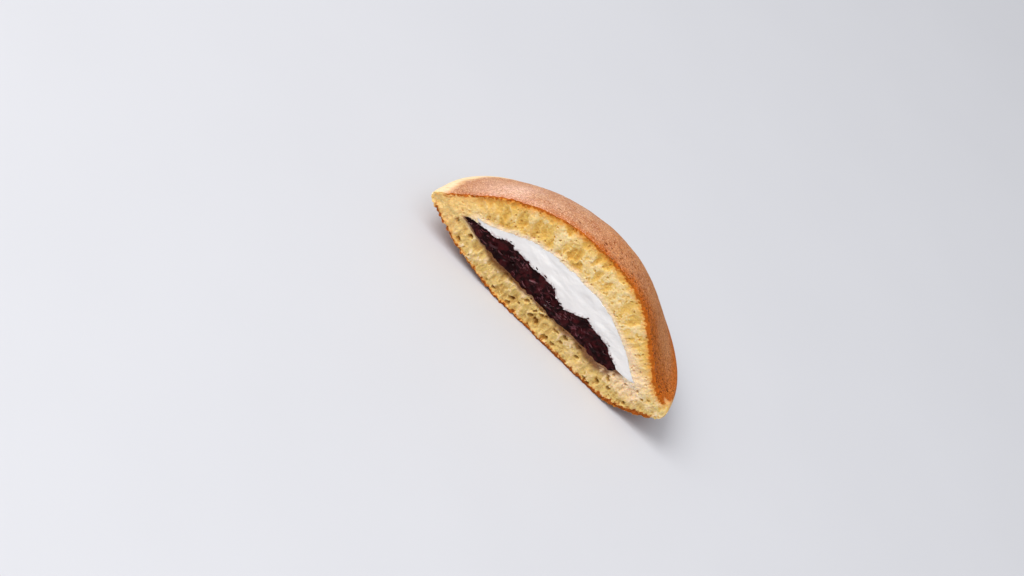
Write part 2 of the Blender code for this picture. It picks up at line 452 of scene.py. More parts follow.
def skin_pits(radius, angle, seed):
    """Burst bubbles, from 0 on the plain skin to 1 in the middle of a pit."""
    along_skin = radius + 14.0 * (radius / RIM) ** 5  # longer where the skin is steep
    place = flat_points(along_skin, angle)
    warped = place[:, :2] + 0.35 * np.stack(
        [clouds(place, 1.7, seed + 1), clouds(place, 1.7, seed + 2)], axis=1
    )
    near, owner = cells(warped[:, 0] / 1.3, warped[:, 1] / 1.3, seed)
    wide = 0.17 + 0.16 * owner
    crowd = ease(place[:, 0] + 8 * clouds(place, 12.0, seed + 3), -14.0, 30.0)
    crowd = crowd * (1 - 0.6 * ease(place[:, 1], 9.0, 24.0))
    return (owner > 0.98 - 0.76 * crowd) * (1 - ease(near, 0.5 * wide, 1.1 * wide))


def skin_relief(radius, angle, seed):
    place = flat_points(radius, angle)
    dents = 0.34 * clouds(place, 11.0, seed, 2) * 4 * (radius / RIM) * (1 - radius / RIM)
    grain = 0.05 * clouds(place, 1.1, seed + 3, 2)
    fine = grain - PIT_DEPTH * skin_pits(radius, angle, seed + 5)
    return dents + fine * ease(RIM - radius, 1.2, 3.5)


def browned(height, radius, angle, seed):
    """The height of a skin with its relief, never under the table."""
    skin = height(radius, angle)
    relief = np.sign(skin - SEAM) * skin_relief(radius, angle, seed) * lip_rounding(radius)
    return np.clip(skin + relief, 0.0, None)


round_the_cake = np.linspace(0, np.pi, 400)
sample = skin_relief(np.full(400, RIM / 2), round_the_cake, TOP_SEED)
print("relief halfway out, mm: from", sample.min().round(2), "to", sample.max().round(2))

# %% [markdown]
# ## Two pancake blanks
# Each pancake starts as a sheet bent over its dome, like the filling, with its steps closer
# together near the cut, where it is seen from close by. It could have a thickness as well,
# but its inside is never seen: the front edge is drawn to the seam as a wall, and one flat
# face closes the rest, so no triangles are spent on it. The rim is drawn in at the seam,
# where the two pancakes were pinched.

# %% Shaping a blank
DENSER = 0.5  # how much closer the steps lie near the cut than at the back
FAR_DOWN = 1000.0  # where the extruded wall waits until it is put on the seam


def pinched(radius, angle, height):
    """Draws the rim in at the seam, more at the back and not at all at the cut."""
    swing = flat_points(np.full(angle.shape, RIM), angle)
    crease = 0.75 + 0.35 * clouds(swing, 6.0, 61, 2)
    crease = crease * ease(RIM * np.sin(angle), 0.5, 9.0) * ease(angle, 0.5, 1.2)
    return radius - crease * (1 - ease(np.abs(height - SEAM), 0.1, 1.5)) * (radius > 0.9 * RIM)


def select_front_edges(piece):
    front = points_of(piece)[:, 1] < CUT_Y + WELD
    piece.data.vertices.foreach_set("select", front)
    edge_ends = np.empty(2 * len(piece.data.edges), dtype=np.int64)
    piece.data.edges.foreach_get("vertices", edge_ends)
    both = front[edge_ends].reshape(-1, 2).all(axis=1)
    piece.data.edges.foreach_set("select", both)
    piece.data.polygons.foreach_set("select", np.zeros(len(piece.data.polygons), dtype=bool))


def wall_and_floor(piece):
    """Draws the front edge to the seam as a wall and closes what is open with one face."""
    select_front_edges(piece)
    bpy.ops.object.mode_set(mode="EDIT")
    bpy.ops.mesh.select_mode(type="EDGE")
    down = (0, 0, -FAR_DOWN * MM)
    bpy.ops.mesh.extrude_region_move(TRANSFORM_OT_translate={"value": down})
    bpy.ops.object.mode_set(mode="OBJECT")
    points = points_of(piece)
    points[points[:, 2] < -FAR_DOWN / 10, 2] = SEAM
    set_points(piece, points)
    weld(piece)
    bpy.ops.mesh.select_all(action="DESELECT")
    bpy.ops.mesh.select_non_manifold(extend=False)
    bpy.ops.mesh.edge_face_add()
    bpy.ops.mesh.select_all(action="SELECT")
    bpy.ops.mesh.normals_make_consistent(inside=False)
    bpy.ops.object.mode_set(mode="OBJECT")


def pancake_blank(name, height, seed, rings, steps):
    piece, share, angle, _ = half_round_sheet(name, rings, steps, thick=False)
    angle = angle - 0.5 * DENSER * np.sin(2 * angle)
    radius = share * RIM
    skin = browned(height, radius, angle, seed)
    skin = np.where(radius > RIM - 1e-4, SEAM, skin)
    place_polar(piece, pinched(radius, angle, skin), angle, skin)
    weld(piece)
    bpy.ops.object.mode_set(mode="OBJECT")
    wall_and_floor(piece)
    return piece


top_sponge = pancake_blank("top_pancake", crust_height, TOP_SEED, 165, 330)
bottom_sponge = pancake_blank("bottom_pancake", base_height, BOTTOM_SEED, 120, 300)
for sponge in (top_sponge, bottom_sponge):
    report(sponge)

# %% [markdown]
# ## The cut through the crumb
# Sponge is a foam whose bubbles rose towards the browned side, so they are longer than they
# are wide, and in the upper pancake they fan out. A knife opens some of them and leaves the
# walls between standing. Carving them one by one would take thousands of cutters, so the
# crumb is a single depth over the cut instead, measured back from the knife's plane. First
# it has to know how far each point is from the skins and from the filling.

# %% Distances on the cut
def edge_distances(x, z):
    """How far points of the cut are under the top skin, above the base, from the filling."""
    radius, angle = np.abs(x), np.where(x >= 0, 0.0, np.pi)
    step = 0.5
    top = crust_height(radius, angle)
    fall = (crust_height(np.clip(radius + step, 0, RIM), angle) - top) / step
    under_skin = (top - z) / np.sqrt(1 + np.clip(fall, -2.5, 0) ** 2)
    over_base = z - base_height(radius, angle)
    cream_out = form("cream_radius", angle)
    paste_out = form("paste_radius", angle)
    drop = (form("cream_edge", angle) - 12.5) * ease(radius - cream_out, 0.0, 3.0)
    above = z - cream_top(np.minimum(radius, cream_out), angle) + drop
    below = paste_bottom(np.minimum(radius, paste_out), angle) - z
    beyond = radius - np.maximum(cream_out, paste_out)
    from_filling = np.maximum(np.maximum(above, below), np.clip(beyond, 0, None))
    return under_skin, over_base, from_filling


def in_lower(z):
    """1 in the lower pancake, 0 in the upper one."""
    return 1 - ease(z, SEAM - 1.5, SEAM + 1.5)


under, _, off = edge_distances(np.array([0.0]), np.array([30.0]))
print("30 mm up in the middle, mm under the skin:", under.round(1), "off the filling:", off.round(1))


# %% Bubbles, pinholes and holes
def bubbles(across, along, grit):
    """Long open bubbles and the small ones between them, each from 0 to 1."""
    near, owner = cells(across / 2.2, along / 6.6, 31)
    large = (owner > 0.2) * (1 - ease(near + 0.08 * grit, 0.16, 0.62)) * (0.5 + 0.5 * owner)
    near, owner = cells(across / 1.1, along / 1.8, 32)
    small = (owner > 0.4) * (1 - ease(near + 0.08 * grit, 0.12, 0.50))
    return large, small


def pinholes(x, z, lower, from_filling):
    """Sharp little holes, fewer in the lower pancake and away from the filling."""
    near, owner = cells(x / 1.0, z / 1.0, 35)
    rare = 0.84 + 0.09 * lower + 0.08 * ease(from_filling, 0.8, 3.0)
    return (owner > rare) * (1 - ease(near, 0.14, 0.30))


def deep_holes(across, along, grit):
    """The few holes that go deep, each of its own width."""
    near, owner = cells(across / 3.1 + 0.37, along / 2.7, 34)
    wide = 0.04 + 0.22 * (owner - 0.64) / 0.36
    return (owner > 0.64) * (1 - ease(near + 0.05 * grit, wide, wide + 0.13))


sample = np.linspace(-40, 40, 800)
large_on_row, _ = bubbles(sample, 0 * sample, 0)
print("large bubbles take up", round(float((large_on_row > 0.1).mean()), 2), "of a row")

# %% [markdown]
# ## One depth for the whole cut
# Near the filling and the skins the crumb is dense, and it is pressed on the right, so the
# bubbles fade there. Deep holes are in the lower pancake alone. Just inside the skins is the
# brink, where the crumb tears unevenly, with notches in the lower pancake. Each of these could
# be a cut of its own, but added up they are one number for each point of the cut.

# %% Depth of the crumb
FAN_CENTRE, FAN_WIDTH = 24.0, 48.0  # the bubbles of the upper pancake fan out from under it


def brink(x, z, place, lower, grit):
    torn = 0.42 * clouds(place, 1.5, 43, 2) + 0.20 * grit
    near, owner = cells(x / 1.9, z / 1.9 + 0.3, 46)
    notch = (owner > 0.45) * (1 - ease(near, 0.12, 0.45))
    return 0.50 + torn + lower * (0.15 + 1.0 * notch)


def crumb_depth(x, z):
    place = np.stack([x, 0 * x, z], axis=1)
    under_skin, over_base, from_filling = edge_distances(x, z)
    lower = in_lower(z)
    grit = clouds(place, 0.5, 44)
    sway, heave = 0.34 * clouds(place, 2.2, 11, 2), 0.5 * clouds(place, 2.2, 21, 2)
    fan, rise = np.arctan2(x, z + FAN_CENTRE) * FAN_WIDTH, np.hypot(x, z + FAN_CENTRE)
    large_above, small_above = bubbles(fan + sway, rise + heave, grit)
    large_below, small_below = bubbles(x + sway, z + heave, grit)
    large = large_above * (1 - lower) + large_below * lower * 0.9
    small = small_above * (1 - lower) + small_below * lower
    near, _ = cells(x / 0.62, z / 0.62, 33)
    grain = 1 - ease(near, 0.0, 0.65)
    pinhole = pinholes(x, z, lower, from_filling)
    hole = deep_holes(x + sway, z + heave, grit)

    loose = ease(from_filling, 0.1, 1.3) * ease(under_skin, 0.3, 1.4) * ease(over_base, 0.3, 1.2)
    to_the_ends = 1 - 0.3 * ease(np.abs(x + 1), 32.0, 40.0)
    to_the_right = 1 - (0.5 - 0.2 * lower) * ease(x, -2.0, 16.0)
    bulge = 0.66 * loose * (to_the_ends * to_the_right) * large
    depth = 0.42 + 0.22 * clouds(place, 4.0, 41, 2)
    depth = depth + 0.2 * lower * (1 - ease(from_filling, 0.4, 2.4)) * (1 - ease(x, 24.0, 32.0))
    depth = depth + bulge + (0.2 + 0.8 * loose) * (0.20 + 0.08 * lower) * small
    depth = depth - 0.14 * grain + (0.07 + 0.03 * lower) * grit
    depth = depth + 0.6 * pinhole * ease(from_filling, 0.1, 0.5)
    depth = depth + ease(loose, 0.3, 0.9) * lower * 1.15 * hole
    edge = brink(x, z, place, lower, grit)
    return edge + (depth - edge) * ease(np.minimum(under_skin, over_base), 0.0, 0.8)


sample = crumb_depth(np.linspace(-40, 40, 800), np.full(800, 28.0))
print("crumb 28 mm up, mm behind the cut:", sample.min().round(2), "to", sample.max().round(2))

# %% [markdown]
# ## A knife with a face
# A knife leaves firm food flat, but sponge tears under it. The relief could be pushed into the
# front of each pancake, but that is one flat wall without points to push. So the tool has the
# relief instead: a block wider than the cake, whose back carries the depth. One Boolean with
# it cuts a whole pancake, and the cream and the paste later get knives of their own.

# %% A knife with a face
KNIFE_WIDTH, KNIFE_HEIGHT, KNIFE_MIDDLE = 96.0, 40.0, 19.0
SHALLOWEST = 0.08  # the knife always takes off at least this much
KNIFE_BACK = 10.0  # how far in front of the cut the block ends


def knife(name, cell, depth):
    """A block that takes away the front half, its face hollowed back by depth(x, z)."""
    deselect()
    bpy.ops.mesh.primitive_grid_add(
        x_subdivisions=round(KNIFE_WIDTH / cell),
        y_subdivisions=round(KNIFE_HEIGHT / cell),
        size=1.0,
    )
    piece = bpy.context.object
    piece.name = name
    grid = points_of(piece) * MM
    x, z = grid[:, 0] * KNIFE_WIDTH, KNIFE_MIDDLE + grid[:, 1] * KNIFE_HEIGHT
    y = CUT_Y + np.clip(depth(x, z), SHALLOWEST, None)
    set_points(piece, np.stack([x, y, z], axis=1))
    use(piece)
    bpy.ops.object.mode_set(mode="EDIT")
    bpy.ops.mesh.select_all(action="SELECT")
    forward = (0, -2 * KNIFE_BACK * MM, 0)
    bpy.ops.mesh.extrude_region_move(TRANSFORM_OT_translate={"value": forward})
    bpy.ops.object.mode_set(mode="OBJECT")
    points = points_of(piece)
    points[points[:, 1] < CUT_Y - KNIFE_BACK / 2, 1] = CUT_Y - KNIFE_BACK
    set_points(piece, points)
    tidy(piece)
    return piece


crumb_knife = knife("crumb_knife", 0.22, crumb_depth)
report(crumb_knife)

# %% [markdown]
# ## Hollow and cut the pancakes
# The pancakes are still whole blanks that overlap the filling. Three cuts finish each: room
# for the cream, room for the paste, and the torn face of the crumb. The hollows are cut first
# and the knife comes last, because a real cake is filled before it is halved.

# %% Hollow and cut the pancakes
for sponge in (top_sponge, bottom_sponge):
    for cutter in (cream_room, paste_room, crumb_knife):
        cut(sponge, cutter)
    tidy(sponge)
    report(sponge)

# %% [markdown]
# ## The cut through the filling
# Whipped cream gives way softly, so the knife leaves long shallow waves and a faint drag.
# Bean paste is half mash and half whole beans: the beans stand out as smooth rounded bodies,
# and the mash between them lies lower. Whole beans could be spheres in the paste, but only
# their cut faces show, so cells in the face of a second knife are enough.

# %% Relief of the filling
def cream_depth(x, z):
    place = np.stack([x + 0.5 * z, 0 * x, 2.0 * z], axis=1)
    drag = np.stack([x * 0.45, 0 * x, z * 1.6], axis=1)
    return (
        0.34
        + 0.22 * clouds(place, 6.0, 81, 2)
        + 0.03 * clouds(drag, 1.3, 83, 2)
        + 0.04 * clouds(place, 1.4, 85, 3)
    )


def paste_depth(x, z):
    """Beans of about 3.7 by 2.4 mm, all leaning the same way, in mash that lies lower."""
    place = np.stack([x, 0 * x, z], axis=1)
    across = (0.82 * x + 0.57 * z) / 3.7 + 0.18 * clouds(place, 2.4, 91)
    along = (0.82 * z - 0.57 * x) / 2.4 + 0.18 * clouds(place, 2.4, 92)
    near, owner = cells(across, along, 93)
    bean = np.sqrt(np.clip(1 - (near / 0.66) ** 2, 0, 1)) * (owner > 0.2) * (0.4 + 0.6 * owner)
    return 0.80 - 0.62 * bean + 0.20 * clouds(place, 1.5, 94, 2) + 0.05 * clouds(place, 0.5, 98)


cream_knife = knife("cream_knife", 0.26, cream_depth)
paste_knife = knife("paste_knife", 0.2, paste_depth)
cut(cream, cream_knife)
cut(paste, paste_knife)
for filling in (cream, paste):
    tidy(filling)
    report(filling)

# %% [markdown]
# ## Torn bean skins
# When a bean is mashed, its skin stays behind as a thin curled flake that catches the light.
# Some lie on the cut face of the paste, and bits of mash were dragged into the cream by the
# knife. A particle system could strew them, but here each copy has to be a mesh of its own.
# So one flake is made from a grid that is curled and given a thickness, and one bit of mash
# from a rough ball, and copies with their own meshes are turned, stretched and joined.

# %% A flake and a bit of mash
def flake():
    deselect()
    bpy.ops.mesh.primitive_grid_add(x_subdivisions=6, y_subdivisions=3, size=1.0)
    piece = bpy.context.object
    points = points_of(piece) * MM
    x, y = points[:, 0], points[:, 1]
    points[:, 1] = y * np.sqrt(np.clip(1 - 3.6 * x * x, 0.05, 1))
    points[:, 2] = 0.28 * (1 - 4 * x * x) + 0.3 * y * y
    set_points(piece, points)
    wall = piece.modifiers.new("wall", "SOLIDIFY")
    wall.thickness = 0.09 * MM
    use(piece)
    bpy.ops.object.modifier_apply(modifier=wall.name)
    return piece


def mash_bit():
    deselect()
    bpy.ops.mesh.primitive_ico_sphere_add(subdivisions=2, radius=0.5 * MM)
    piece = bpy.context.object
    points = points_of(piece)
    set_points(piece, points * (1 + 0.3 * clouds(points, 0.7, 121))[:, None])
    return piece


one_flake, one_bit = flake(), mash_bit()
for model in (one_flake, one_bit):
    print("a model of", len(model.data.polygons), "faces to copy")


# %% Places to strew them
def paste_at(x):
    """The heights of the paste's underside and top at one place along the cut."""
    radius, angle = np.array([abs(x)]), np.array([0.0 if x > 0 else math.pi])
    return float(paste_bottom(radius, angle)[0]), float(paste_top(radius, angle)[0])


def places_in_paste(count, chance):
    """Places well inside the paste, where it is thick enough to hold a flake."""
    found = []
    while len(found) < count:
        x = chance.uniform(-33, 26)
        low, high = paste_at(x)
        if high - low > 1.6:
            found.append((x, chance.uniform(low + 0.5, high - 0.8)))
    return found


def places_on_rim(count, chance):
    """Places along the upper border of the paste, where the cream begins."""
    found = []
    for _ in range(count):
        x = chance.uniform(-32, 26)
        found.append((x, paste_at(x)[1] + chance.uniform(-0.1, 0.45)))
    return found


print("the paste reaches from", *np.round(paste_at(0.0), 1), "mm up in the middle of the cut")


# %% Strew the copies
def scatter(name, model, places, depth, chance, stretch, sink):
    """Copies of a model on a cut face, each turned and stretched in its own way."""
    start = points_of(model)
    copies = []
    for x, z in places:
        use(model)
        bpy.ops.object.duplicate()
        turn, tilt, lean = chance.normal(-0.1, 0.5), chance.normal(0, 0.6), chance.normal(0, 0.3)
        size = 0.45 + 1.1 * chance.random() ** 2
        shape = start * np.array(stretch) * size
        rotation = (
            Matrix.Rotation(turn, 3, "Y")
            @ Matrix.Rotation(math.pi / 2 + tilt, 3, "X")
            @ Matrix.Rotation(lean, 3, "Y")
        )
        y = CUT_Y + float(depth(np.array([x]), np.array([z]))[0]) + sink
        set_points(bpy.context.object, shape @ np.array(rotation).T + np.array([x, y, z]))
        copies.append(bpy.context.object)
    deselect()
    for copy in copies:
        copy.select_set(True)
    bpy.context.view_layer.objects.active = copies[0]
    bpy.ops.object.join()
    bpy.data.objects.remove(model)
    copies[0].name = name
    tidy(copies[0], 0.1 * WELD)
    return copies[0]


chance = np.random.default_rng(17)
places = places_in_paste(28, chance)
skins = scatter("bean_skins", one_flake, places, paste_depth, chance, (2.6, 0.5, 1.0), -0.05)
places = places_on_rim(20, chance)
bits = scatter("bean_bits", one_bit, places, cream_depth, chance, (1.9, 0.7, 0.8), 0.1)
for loose_piece in (skins, bits):
    report(loose_piece)

# %% [markdown]
# ## Marks on the crumb
# A material can't know how deep under the skin a point lies or how far it is from the paste.
# It could be painted by hand on an image, but a number kept at each point follows the shape
# exactly and needs no image. The crumb gets six: its depth behind the knife's plane, where it
# is pressed pale beside the filling, where the paste has stained it, where the left end is
# warm in colour, where golden streaks run, and how far under the skin it is.

# %% Tools for marks
CUT_REACH = 3.5  # points less far behind the knife's plane belong to the torn face


def polar(points):
    """Distance from the axis of the cake, and the angle round it."""
    x, y = points[:, 0], points[:, 1] - CUT_Y
    return np.hypot(x, y), np.arctan2(np.clip(y, 0, None), x)


def keep_marks(piece, name, values):
    """Stores one number for each point, for a material to read."""
    mark = piece.data.attributes.new(name, "FLOAT", "POINT")
    mark.data.foreach_set("value", np.asarray(values, dtype=np.float32))


def depth_under_skin(points, height, seed):
    """How far points are from the skin, measured square to its slope, and 0 on the rim."""
    radius, angle = polar(points)
    radius = np.clip(radius, 0, RIM)
    step = 0.5
    slope = (height(radius, angle) - height(np.clip(radius - step, 0, RIM), angle)) / step
    skin = browned(height, radius, angle, seed)
    under_skin = np.abs(skin - points[:, 2]) / np.sqrt(1 + np.clip(slope, -2.5, 2.5) ** 2)
    behind = points[:, 1] - CUT_Y
    outer_wall = (radius > RIM - 0.35) | ((radius > RIM - 1.4) & (behind > 2.0))
    return np.where(outer_wall, 0, under_skin)


sample = depth_under_skin(points_of(top_sponge), crust_height, TOP_SEED)
print("deepest point under the upper skin, mm:", sample.max().round(1))


# %% Marks on the crumb
def stain_near_paste(points, radius, angle):
    """Brown crumb under the paste, wide on the right and left, narrow between."""
    paste_out = form("paste_radius", angle)
    under_paste = paste_bottom(np.minimum(radius, paste_out), angle) - points[:, 2]
    off_paste = np.abs(under_paste) + np.clip(radius - paste_out, 0, None)
    wide = ease(points[:, 0], 2.0, 9.0) + np.exp(-(((points[:, 0] + 17.5) / 5.0) ** 2))
    stain = 1 - ease(off_paste, 0.2, 1.7 + 2.7 * wide)
    stain = stain * np.clip(0.35 + 0.9 * clouds(points, 3.2, 99, 2) + 0.9 * wide, 0, 1)
    return np.maximum(stain, 0.8 * (1 - ease(off_paste, 0.3, 1.1)))


def streaks_in_crumb(x, z, under_skin, from_filling):
    """Golden streaks in the left and along the right crust, olive ones in the lower pancake."""
    on_left = ease(-x, 8.0, 18.0) * ease(x, -38.0, -30.0) * ease(from_filling, 0.8, 2.5)
    by_crust = 0.9 * ease(x, 0.0, 10.0) * (1 - ease(under_skin, 1.5, 4.0))
    above = np.maximum(on_left, by_crust) * ease(z, SEAM, SEAM + 4.0)
    below = ease(from_filling, 0.6, 2.0) * ease(under_skin, 0.6, 1.6) * (z < SEAM)
    return np.maximum(above, below * (1 - 0.6 * ease(x, 8.0, 22.0)))


def mark_crumb(piece, points, under_skin):
    radius, angle = polar(points)
    radius = np.clip(radius, 0, RIM)
    x, behind, z = points[:, 0], points[:, 1] - CUT_Y, points[:, 2]
    _, _, from_filling = edge_distances(x, z)
    on_cut = (behind < CUT_REACH) & (under_skin > 0.02)
    pressed = 1 - ease(from_filling, 0.2, 2.0 + 5.0 * ease(x, 20.0, 32.0))
    pressed = pressed * np.clip(ease(z, SEAM - 2, SEAM) + ease(x, 6, 22), 0.3, 1)
    marks = {
        "depth": behind,
        "pressed": pressed,
        "stain": stain_near_paste(points, radius, angle),
        "warm": 0.85 * ease(-x, 27.0, 43.0),
        "streak": streaks_in_crumb(x, z, under_skin, from_filling),
    }
    for name, values in marks.items():
        keep_marks(piece, name, np.where(on_cut, values, 0.0))
    keep_marks(piece, "under_skin", under_skin)
    print(piece.name, "crumb:", on_cut.sum(), "points on the cut")


for sponge, height, seed in (
    (top_sponge, crust_height, TOP_SEED),
    (bottom_sponge, base_height, BOTTOM_SEED),
):
    points = points_of(sponge)
    mark_crumb(sponge, points, depth_under_skin(points, height, seed))

# %% [markdown]
# ## Marks on the skin
# The griddle browns a pancake unevenly. Its rim stays pale where it didn't touch, except on
# the right, where the pale line is thin and follows the seam. The right half is toasted
# darker and more orange and the left is paler and pinker, partly real browning and partly
# painted light: painted shade on the right, where the light turns away, and a painted sheen
# on the left. The left shoulder has a painted pinkish highlight, and beside the cut the skin
# is a scorched orange. One painted image could hold all of it, but as marks of their own,
# each colour can be set without touching the others. The burst pits and the distance behind
# the cut are marks too.

# %% Marks on the skin
def pale_rim(points, radius, angle, far_side, seed):
    turn = np.degrees(angle) + 5 * clouds(points, 4.0, seed + 14, 2)
    start = 42.5 + 0.6 * (1 - ease(turn, 90, 150)) + 4.0 * far_side
    pale = ease(radius + 0.9 * clouds(points, 2.4, seed + 9, 3) - start, -0.4, 2.4)
    off_seam = np.abs(points[:, 2] - SEAM) + 0.8 * clouds(points, 2.4, seed + 15, 2)
    seam_line = (1 - ease(off_seam, 0.7, 2.3)) * ease(radius, RIM - 3.0, RIM - 1.5)
    return np.maximum(pale, 0.8 * far_side * seam_line)


def mark_skin(piece, points, seed):
    radius, angle = polar(points)
    radius = np.clip(radius, 0, RIM)
    x, behind = points[:, 0], points[:, 1] - CUT_Y
    turn = np.degrees(angle) + 5 * clouds(points, 4.0, seed + 14, 2)
    far_side = ease(turn, 4, 17) * (1 - ease(turn, 50, 110))
    reach = 4.0 + 9.0 * ease(x, 4.0, 28.0)
    scorch = 1 - ease(behind + 1.5 * clouds(points, 3.0, seed + 13, 2), 0.1 * reach, reach)
    scorch = scorch * (0.5 + 0.5 * ease(x, -20.0, 5.0))
    # A painted highlight: the left shoulder, where the light falls, is painted paler and pinker.
    shoulder = x + 3 * clouds(points, 8.0, seed + 12)
    painted_highlight = ease(shoulder, -43.0, -29.0) * (1 - ease(shoulder, -28.0, -17.0))
    marks = {
        "behind": behind,
        "pit": skin_pits(radius, angle, seed + 5) * ease(RIM - radius, 0.8, 3.0),
        "pale": pale_rim(points, radius, angle, far_side, seed),
        "scorch": np.maximum(scorch, 0.9 * far_side * ease(radius, 40.0, 44.0)),
        # Darker and more orange to the right, partly real browning and partly painted light: the
        # left is painted paler and pinker as a sheen, the right darker as shade.
        "toast_and_shade": ease(x + 7 * clouds(points, 16.0, seed + 11), -13, 27),
        "painted_highlight": painted_highlight * (1 - ease(behind, 9.0, 22.0)),
    }
    for name, values in marks.items():
        keep_marks(piece, name, values)
    print(piece.name, "skin:", ", ".join(marks))


for sponge, seed in ((top_sponge, TOP_SEED), (bottom_sponge, BOTTOM_SEED)):
    mark_skin(sponge, points_of(sponge), seed)


# %% [markdown]
# ## Mark on the cream
# Where the knife crossed from the paste into the cream, it smeared some mash along. The smears
# could be thin pieces of their own, but they have no thickness that anyone would see. One mark
# is enough: how far each point of the cream lies from the paste under it.

# %% Mark the cream
def above_paste(points):
    radius, angle = polar(points)
    inside = np.minimum(radius, form("paste_radius", angle))
    return points[:, 2] - paste_top(inside, angle) + np.clip(radius - inside, 0, None)


above = above_paste(points_of(cream))
keep_marks(cream, "above_paste", above)
print((above < 1.2).sum(), "points of the cream lie close to the paste")

# %% [markdown]
# ## Finishes
# Every colour here is a mix steered by noise and by the marks. The nodes could be wired one
# by one, but a few short words for them make a finish read like a recipe: `ramp` turns a
# number into a share, `over` lays a colour on another where that share is high. Light also
# goes a little way into sponge, cream and paste, which the subsurface setting gives. The
# noise reads Object coordinates, so no pattern stretches, whatever the mesh looks like.

# %% Node helpers
def linear(red, green, blue):
    """A colour as read off a screen, 0 to 255, turned into the light that Blender mixes."""
    return tuple(
        c / 12.92 if c <= 0.04045 else ((c + 0.055) / 1.055) ** 2.4
        for c in (red / 255, green / 255, blue / 255)
    ) + (1.0,)


class Finish:
    """A new material and short words for the nodes that it is mixed from."""

    def __init__(self, name, roughness, subsurface, reach):
        self.material = bpy.data.materials.new(name)
        self.material.use_nodes = True
        self.tree = self.material.node_tree
        self.shader = self.tree.nodes["Principled BSDF"]
        self.set("Roughness", roughness)
        self.set("Subsurface Weight", subsurface)
        self.set("Subsurface Radius", reach)
        self.set("Subsurface Scale", MM)
        self.place = self.tree.nodes.new("ShaderNodeTexCoord").outputs["Object"]

    def set(self, socket, value):
        self.shader.inputs[socket].default_value = value

    def link(self, source, target):
        if isinstance(source, (int, float, tuple)):
            target.default_value = source
        else:
            self.tree.links.new(source, target)

    def mark(self, name):
        node = self.tree.nodes.new("ShaderNodeAttribute")
        node.attribute_name = name
        return node.outputs["Fac"]

    def noise(self, size, detail=2.0, stretch=(1, 1, 1)):
        """Noise from 0 to 1 whose swells are about size millimetres wide."""
        mapping = self.tree.nodes.new("ShaderNodeMapping")
        mapping.inputs["Scale"].default_value = stretch
        node = self.tree.nodes.new("ShaderNodeTexNoise")
        node.inputs["Scale"].default_value = 1 / (size * MM)
        node.inputs["Detail"].default_value = detail
        self.link(self.place, mapping.inputs["Vector"])
        self.link(mapping.outputs["Vector"], node.inputs["Vector"])
        return node.outputs["Fac"]

    def spots(self, size):
        """Distance to the nearest of spots that are strewn about size millimetres apart."""
        node = self.tree.nodes.new("ShaderNodeTexVoronoi")
        node.inputs["Scale"].default_value = 1 / (size * MM)
        self.link(self.place, node.inputs["Vector"])
        return node.outputs["Distance"]

    def ramp(self, source, low, high, to_low=0.0, to_high=1.0):
        """A smooth rise from to_low, where source is low, to to_high, where it is high."""
        node = self.tree.nodes.new("ShaderNodeMapRange")
        node.interpolation_type = "SMOOTHSTEP"
        self.link(source, node.inputs["Value"])
        limits = {"From Min": low, "From Max": high, "To Min": to_low, "To Max": to_high}
        for socket, value in limits.items():
            node.inputs[socket].default_value = value
        return node.outputs["Result"]

    def sum_up(self, operation, first, others):
        for other in others:
            node = self.tree.nodes.new("ShaderNodeMath")
            node.operation = operation
            self.link(first, node.inputs[0])
            self.link(other, node.inputs[1])
            first = node.outputs[0]
        return first

    def times(self, first, *others):
        return self.sum_up("MULTIPLY", first, others)

    def plus(self, first, *others):
        return self.sum_up("ADD", first, others)

    def minus(self, first, *others):
        return self.sum_up("SUBTRACT", first, others)

    def mix(self, share, none, full):
        """One colour where share is 0, the other where it is 1."""
        node = self.tree.nodes.new("ShaderNodeMix")
        node.data_type = "RGBA"
        self.link(share, node.inputs["Factor"])
        self.link(none, node.inputs[6])
        self.link(full, node.inputs[7])
        return node.outputs[2]

    def over(self, base, colour, share, *strengths):
        """Lays a colour over the base, as far as the share and the strengths allow."""
        return self.mix(self.times(share, *strengths), base, colour)

    def colour(self, source):
        self.link(source, self.shader.inputs["Base Color"])

    def bump(self, source, height):
        node = self.tree.nodes.new("ShaderNodeBump")
        node.inputs["Distance"].default_value = height * MM
        self.link(source, node.inputs["Height"])
        self.link(node.outputs["Normal"], self.shader.inputs["Normal"])


print("egg yellow, 240 200 90 on a screen, is", [round(c, 2) for c in linear(240, 200, 90)])

# %% [markdown]
# ## Colours of the crumb
# Crumb isn't one yellow. The deeper a bubble is opened, the more golden and then brown it is
# painted: painted light that comes back out of the open bubbles, and painted shade in the
# deepest holes. Beside the filling it is pressed and pinkish, and where the paste touches it,
# brown. Under the skin the first millimetres are toasted, and the skin's own torn edge is the
# darkest line. The shade in the bubbles could be left to the render alone, but here it is
# painted into the colour as well. The layers are laid on in the order in which they cover one
# another.

# %% Colours of the crumb
def open_crumb(finish, look):
    """Pale crumb with golden swells and streaks, and painted shade where a bubble is open."""
    under, depth = finish.mark("under_skin"), finish.mark("depth")
    swells = finish.ramp(finish.noise(2.6, 4.0), 0.3, 0.7)
    crumb = finish.mix(swells, look["crumb_light"], look["crumb_dark"])
    golden = finish.ramp(finish.noise(8.0, 2.0), 0.42, 0.62)
    golden = finish.times(golden, finish.ramp(under, 7.5, 2.5))
    crumb = finish.over(crumb, linear(234, 190, 102), golden, 0.5)
    streaks = finish.ramp(finish.noise(2.2, 2.0, (1.6, 1.0, 0.5)), 0.40, 0.58)
    crumb = finish.over(crumb, look["streak"], streaks, finish.mark("streak"), 0.75)
    # Painted shade: the deeper a point lies behind the cut, the more golden, then brown, it is
    # painted, as light in the open bubbles and shade in the holes.
    crumb = finish.over(crumb, look["bubble"], finish.ramp(depth, 0.36, 0.62))
    crumb = finish.over(crumb, look["deep_bubble"], finish.ramp(depth, 0.62, 1.05))
    return finish.over(crumb, look["hole"], finish.ramp(depth, 1.35, 2.0))


